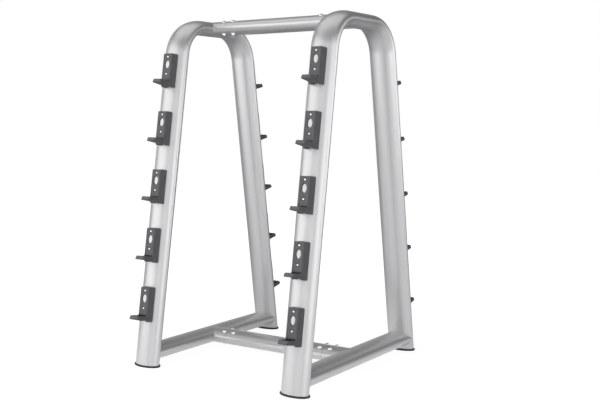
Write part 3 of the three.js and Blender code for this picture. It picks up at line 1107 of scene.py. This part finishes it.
    def build(self, saddle: Saddle) -> None:
        """Make every piece of the hoop.

        Args:
            saddle: The saddle that stands on its legs.
        """
        place = self.finishes.place
        tube = self.bent_tube().mesh("bent_tube")
        place(f"{self.name}_bent_tube", tube, Slot.SILVER_PAINT, [f"{self.name}_hoop"])
        rail, beads = self.low_rail()
        coped = rail.mesh("coped_rail")
        place(f"{self.name}_coped_rail", coped, Slot.SILVER_PAINT, [f"{self.name}_low_rail"])
        place(f"{self.name}_rail_welds", beads.mesh("rail_welds"), Slot.SILVER_PAINT)
        for facing in Facing:
            leg = f"{self.name}_{facing.name.lower()}"
            foot = self.foot(facing).mesh("rubber_foot")
            place(f"{leg}_rubber_foot", foot, Slot.BLACK_RUBBER, [f"{leg}_foot"])
            for number, height in enumerate(self.saddle_heights, 1):
                meshes = saddle.body(), saddle.screws(), saddle.plate()
                for mesh in meshes:
                    mesh.transform(self.leg.stand(self.side, facing, height, abs(self.x)))
                moulding, screws, plate = meshes
                place(f"{leg}_moulding_{number}", moulding, Slot.CHARCOAL_PLASTIC, [f"{leg}_saddle_{number}"])
                place(f"{leg}_screws_{number}", screws, Slot.CHROME)
                place(f"{leg}_blank_plate_{number}", plate, Slot.SILVER_PAINT)


@dataclass
class Crossbar:
    """A crossbar with the stubs that it is spliced to and the bolts through the splices."""

    level: Level
    finishes: Finishes
    hoop_x: float
    tube: OvalTube = OvalTube()
    seam_bevel: float = 0.9
    seam_gap: float = 0.5
    bolt_head_radius: float = 9.2
    washer_radius: float = 10.0
    washer_height: float = 2.4  # above the tube's crest
    dome_rise: float = 3.6
    shank_radius: float = 3.0  # hidden in the tube
    nut_radius: float = 8.6

    def __post_init__(self) -> None:
        """Read the bar's height and its seams from the frame."""
        low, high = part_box(f"{self.level.value}_crossbar")
        self.height = (low.z + high.z) / 2 / MM
        self.seam = high.x / MM

    def hoop_face(self, side: Side) -> EndShape:
        """Where the crossing tube's surface lies along X, for the coped end of a stub.

        Args:
            side: The hoop.

        Returns:
            The shape, for OvalTube.straight().
        """

        def end(across: np.ndarray, up: np.ndarray) -> np.ndarray:
            """The tube's axis less half width times the root of 1 - (up / half depth)^2.

            Args:
                across: Distances across; not used.
                up: Distances above the stub's axis.

            Returns:
                Places along X.
            """
            ratio = np.clip(1 - (up / self.tube.half_depth) ** 2, 0, 1)
            return side.value * (self.hoop_x - self.tube.half_width * np.sqrt(ratio))

        return end

    def turned(self, points: np.ndarray) -> np.ndarray:
        """Lay a straight tube, drawn across, along and up, with its length on X at the bar's height."""
        across, along, up = np.moveaxis(points, -1, 0)
        return np.stack([along, across, up + self.height], axis=-1)

    def stub(self, side: Side) -> tuple[Surface, Surface]:
        """A stub coped to the crossing tube, and its weld bead.

        Args:
            side: The hoop that it is on.

        Returns:
            The stub's surface and the bead's.
        """
        seam_end = square_end(side.value * (self.seam + self.seam_gap))
        face = self.hoop_face(side)
        if side is Side.LEFT:
            tube = self.tube.straight(face, seam_end, (0.0, self.seam_bevel))
        else:
            tube = self.tube.straight(seam_end, face, (self.seam_bevel, 0.0))
        across, up = self.tube.ring()
        normal = self.tube.outward(across, up)
        seam = self.turned(np.stack([across, face(across, up), up], axis=-1))
        strength = np.abs(across) / self.tube.half_width
        bead = WeldBead().along(seam, normal[:, [1, 0, 2]], strength)
        return Surface.grid(self.turned(tube), close_rows=True, close_columns=True), bead

    def bar(self) -> Surface:
        """The crossbar between its two seams, with bevelled ends.

        Returns:
            The closed surface.
        """
        bevels = self.seam_bevel, self.seam_bevel
        tube = self.tube.straight(square_end(-self.seam), square_end(self.seam), bevels)
        return Surface.grid(self.turned(tube), close_rows=True, close_columns=True)

    def bolt(self, x: float, y: float) -> Surface:
        """Through bolt: a domed head with a hexagon socket above, a domed nut below, and contoured washers.

        Each end is turned about Z, and its washer's lower ring is laid on the tube's surface.

        Args:
            x: Place along the bar.
            y: Place across the bar.

        Returns:
            The closed bolt.
        """
        crest = float(self.tube.rise(np.array(y)))
        turn = np.linspace(0, np.pi / 2, 8)
        seat = crest + self.washer_height
        skirt = crest - 4.0
        dome = np.stack([self.bolt_head_radius * np.cos(turn), seat + self.dome_rise * np.sin(turn)], axis=-1)
        rim = self.washer_radius
        shank = [[self.shank_radius, 0.0], [self.shank_radius, crest - 8]]
        foot = [*shank, [rim, skirt], [rim, seat - 0.7], [rim - 0.5, seat]]
        socket = [[2.6, seat + 3.2], [2.4, seat + 2.4]]
        head_rings = np.array([*foot, *dome[:-1].tolist(), *socket])
        collar = [[self.nut_radius, seat], [self.nut_radius, seat + 1.6]]
        nut_rings = np.array([*foot, *collar, *dome[2:-1].tolist(), [0.6, seat + self.dome_rise]])
        ends = []
        head_shape = hexagon_socket(len(head_rings) - len(socket))
        for rings, shape, sign in ((head_rings, head_shape, 1), (nut_rings, None, -1)):
            end = revolved(rings, 32, shape)
            px, py, pz = end.points.T
            surface = self.tube.rise(y + py) - 1.0
            pz = np.where(np.isclose(pz, skirt), surface, pz)
            ends.append(Surface(np.stack([px + x, py + y, sign * pz + self.height], axis=-1), end.faces))
        return Surface.joined(ends)

    def build(self) -> None:
        """Make every piece of the crossbar and its splices."""
        place = self.finishes.place
        level = self.level.value
        place(f"{level}_oval_bar", self.bar().mesh("oval_bar"), Slot.SILVER_PAINT, [f"{level}_crossbar"])
        for side in Side:
            splice = f"{level}_{side.name.lower()}"
            stub, bead = self.stub(side)
            place(f"{splice}_coped_stub", stub.mesh("coped_stub"), Slot.SILVER_PAINT, [f"{splice}_stub"])
            place(f"{splice}_stub_weld", bead.mesh("stub_weld"), Slot.SILVER_PAINT)
            self.finishes.dress(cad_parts[f"{splice}_splice_sleeve"], Slot.ZINC_STEEL)
            for number in range(1, 5):
                node = f"{splice}_splice_bolt_{number}"
                low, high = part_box(node)
                x, y = (low.x + high.x) / 2 / MM, (low.y + high.y) / 2 / MM
                bolt = self.bolt(x, y).mesh("domed_bolt")
                place(f"{splice}_domed_bolt_{number}", bolt, Slot.CHROME, [node])


class Lights(Enum):
    """What a lamp adds: a fill has no highlight, and a rim lamp has nothing else."""

    ALL = "all"
    FILL = "fill"
    RIM = "rim"


@dataclass(frozen=True)
class Softbox:
    """A rectangular lamp, placed by its direction from the rack.

    Azimuth goes from the front towards the right, and sizes are in metres.
    """

    name: str
    azimuth: float
    elevation: float
    radiance: float
    width: float = 4.4
    height: float = 3.6
    distance: float = 5.0
    lights: Lights = Lights.ALL


def heading(azimuth: float, elevation: float) -> Vector:
    """Direction from the rack: azimuth from the front towards the right, and elevation from the horizon.

    It is (sin a cos e, -cos a cos e, sin e).

    Args:
        azimuth: In degrees.
        elevation: In degrees.

    Returns:
        The direction, of length 1.
    """
    turn, rise = math.radians(azimuth), math.radians(elevation)
    level = math.cos(rise)
    return Vector((math.sin(turn) * level, -math.cos(turn) * level, math.sin(rise)))


@dataclass
class Studio:
    """Pale floor, soft lamps and the camera."""

    softboxes: tuple[Softbox, ...] = (
        Softbox("softbox_front_left", -45, 15, 1.6, height=4.6),
        Softbox("softbox_right", 45, 15, 0.75, height=4.6),
        Softbox("softbox_front", 2, 12, 1.1, width=2.6, height=4.2),
        Softbox("fill_light_rear", 200, 12, 1.0, lights=Lights.FILL),
        Softbox("rim_light_right", 56, 8, 1.2, lights=Lights.RIM),
        Softbox("rim_light_rear_right", 108, 10, 2.1, width=4.6, height=3.0, lights=Lights.RIM),
        Softbox("softbox_above", -80, 79, 0.95, height=6.6),
    )
    aim_height: float = 0.9
    camera_place: tuple[float, float, float] = (2.4693, -3.5838, 1.1286)
    azimuth: float = 34.458
    elevation: float = -3.580
    roll: float = 0.1146
    lens: float = 56.04
    shift: tuple[float, float] = (0.0315, -0.0403)
    floor_size: float = 30.0
    floor_colour: str = "#8E8E90"
    floor_lift: tuple[float, float] = (0.88, 1.0)  # for the camera, near the rack and far from it
    lift_reach: tuple[float, float] = (0.6, 2.8)
    floor_seen: tuple[float, float] = (0.12, 1.0)  # in metal, behind the rack and in front of it
    cove_heading: tuple[float, float, float] = (0.6, -0.8, 0.0)  # from dim to pale, to the front right
    cove_reach: tuple[float, float] = (-1.5, 0.3)  # metres along that heading, from the rack's middle
    wall_light: float = 0.15
    ceiling_light: float = 0.05
    wall_seen: float = 0.5
    ceiling_seen: float = 0.1
    wall_top: tuple[float, float] = (0.1, 0.5)  # rise of a ray where the walls end and the ceiling starts

    def camera(self) -> None:
        """Set the camera at the photograph's viewing angle."""
        ahead = -heading(self.azimuth, -self.elevation)
        right = heading(self.azimuth + 90, 0)
        up = right.cross(ahead)
        roll = math.radians(self.roll)
        right, up = (
            math.cos(roll) * right + math.sin(roll) * up,
            math.cos(roll) * up - math.sin(roll) * right,
        )
        data = bpy.data.cameras.new("camera")
        data.lens = self.lens
        data.shift_x, data.shift_y = self.shift
        data.clip_end = 100
        camera = bpy.data.objects.new("camera", data)
        turn = Matrix((right, up, -ahead)).transposed().to_4x4()
        camera.matrix_world = Matrix.Translation(self.camera_place) @ turn
        bpy.context.scene.collection.objects.link(camera)
        bpy.context.scene.camera = camera

    def floor(self) -> None:
        """Lay the pale floor, lifted towards white for the camera so that only shadows show on it."""
        half = self.floor_size / 2
        mesh = bpy.data.meshes.new("floor")
        square = [(-half, -half, 0), (half, -half, 0), (half, half, 0), (-half, half, 0)]
        mesh.from_pydata(square, [], [(0, 1, 2, 3)])
        floor = bpy.data.objects.new("floor", mesh)
        bpy.context.scene.collection.objects.link(floor)
        material, tree, shader = principled("pale_floor", Base_Color=linear(self.floor_colour), Roughness=0.9)
        path = add_node(tree, "ShaderNodeLightPath")
        place = add_node(tree, "ShaderNodeTexCoord").outputs["Object"]
        far = add_node(tree, "ShaderNodeVectorMath", {"operation": "LENGTH"}, i0=place).outputs["Value"]
        ahead = add_node(
            tree, "ShaderNodeVectorMath", {"operation": "DOT_PRODUCT"}, i0=place, i1=self.cove_heading
        ).outputs["Value"]
        cove = ramp(tree, ahead, self.floor_seen, self.cove_reach, "SMOOTHSTEP")
        mirrored = add_node(
            tree, "ShaderNodeMath", {"operation": "MULTIPLY"}, i0=mirror_rays(tree, path), i1=cove
        ).outputs[0]
        lift = add_node(
            tree,
            "ShaderNodeMath",
            {"operation": "MULTIPLY_ADD"},
            i0=path.outputs["Is Camera Ray"],
            i1=ramp(tree, far, self.floor_lift, self.lift_reach, "SMOOTHSTEP"),
            i2=mirrored,
        )
        shader.inputs["Emission Color"].default_value = (1, 1, 1, 1)
        tree.links.new(lift.outputs[0], shader.inputs["Emission Strength"])
        floor.data.materials.append(material)

    def sky(self) -> None:
        """Light the scene from pale walls under a dark ceiling, and show white to the camera.

        Brightness falls smoothly from the walls' value to the ceiling's by the rise of a ray's direction.
        """
        world = bpy.data.worlds.new("studio")
        world.use_nodes = True
        tree = world.node_tree
        tree.nodes.clear()
        path = add_node(tree, "ShaderNodeLightPath")
        ray = add_node(tree, "ShaderNodeTexCoord").outputs["Generated"]
        height = add_node(tree, "ShaderNodeSeparateXYZ", Vector=ray).outputs["Z"]
        strengths = [
            ramp(tree, height, ends, self.wall_top, "SMOOTHSTEP")
            for ends in ((self.wall_light, self.ceiling_light), (self.wall_seen, self.ceiling_seen))
        ]
        light, mirrored = (add_node(tree, "ShaderNodeBackground", Strength=value) for value in strengths)
        white = add_node(tree, "ShaderNodeBackground", Strength=1.0)
        for background in (light, mirrored, white):
            background.inputs["Color"].default_value = (1, 1, 1, 1)
        mix = add_node(
            tree,
            "ShaderNodeMixShader",
            i0=mirror_rays(tree, path),
            i1=light.outputs["Background"],
            i2=mirrored.outputs["Background"],
        )
        mix = add_node(
            tree,
            "ShaderNodeMixShader",
            i0=path.outputs["Is Camera Ray"],
            i1=mix.outputs["Shader"],
            i2=white.outputs["Background"],
        )
        add_node(tree, "ShaderNodeOutputWorld", Surface=mix.outputs["Shader"])
        bpy.context.scene.world = world

    def lamp(self, softbox: Softbox) -> None:
        """Hang a softbox.

        Args:
            softbox: Its name, direction, size and brightness.
        """
        away = heading(softbox.azimuth, softbox.elevation)
        data = bpy.data.lights.new(softbox.name, "AREA")
        data.shape = "RECTANGLE"
        data.size, data.size_y = softbox.width, softbox.height
        data.energy = softbox.radiance * math.pi * softbox.width * softbox.height
        lamp = bpy.data.objects.new(softbox.name, data)
        lamp.location = away * softbox.distance + Vector((0, 0, self.aim_height))
        lamp.rotation_euler = away.to_track_quat("Z", "Y").to_euler()
        lamp.visible_camera = False
        lamp.visible_diffuse = softbox.lights is not Lights.RIM
        lamp.visible_glossy = softbox.lights is not Lights.FILL
        bpy.context.scene.collection.objects.link(lamp)

    def build(self) -> None:
        """Make the floor, the light and the camera."""
        self.floor()
        self.sky()
        for softbox in self.softboxes:
            self.lamp(softbox)
        self.camera()
        bpy.context.scene.view_settings.view_transform = "Standard"


def main() -> None:
    """Build the rack's sub-assemblies in order, then the studio."""
    logging.basicConfig(level=logging.INFO, format="%(name)s %(message)s")
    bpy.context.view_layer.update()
    finishes = Finishes()
    saddle = Saddle()
    hoops = [Hoop(side, finishes) for side in Side]
    for hoop in hoops:
        hoop.build(saddle)
    for level in Level:
        Crossbar(level, finishes, abs(hoops[0].x)).build()
    Studio().build()


if __name__ == "__main__":
    main()
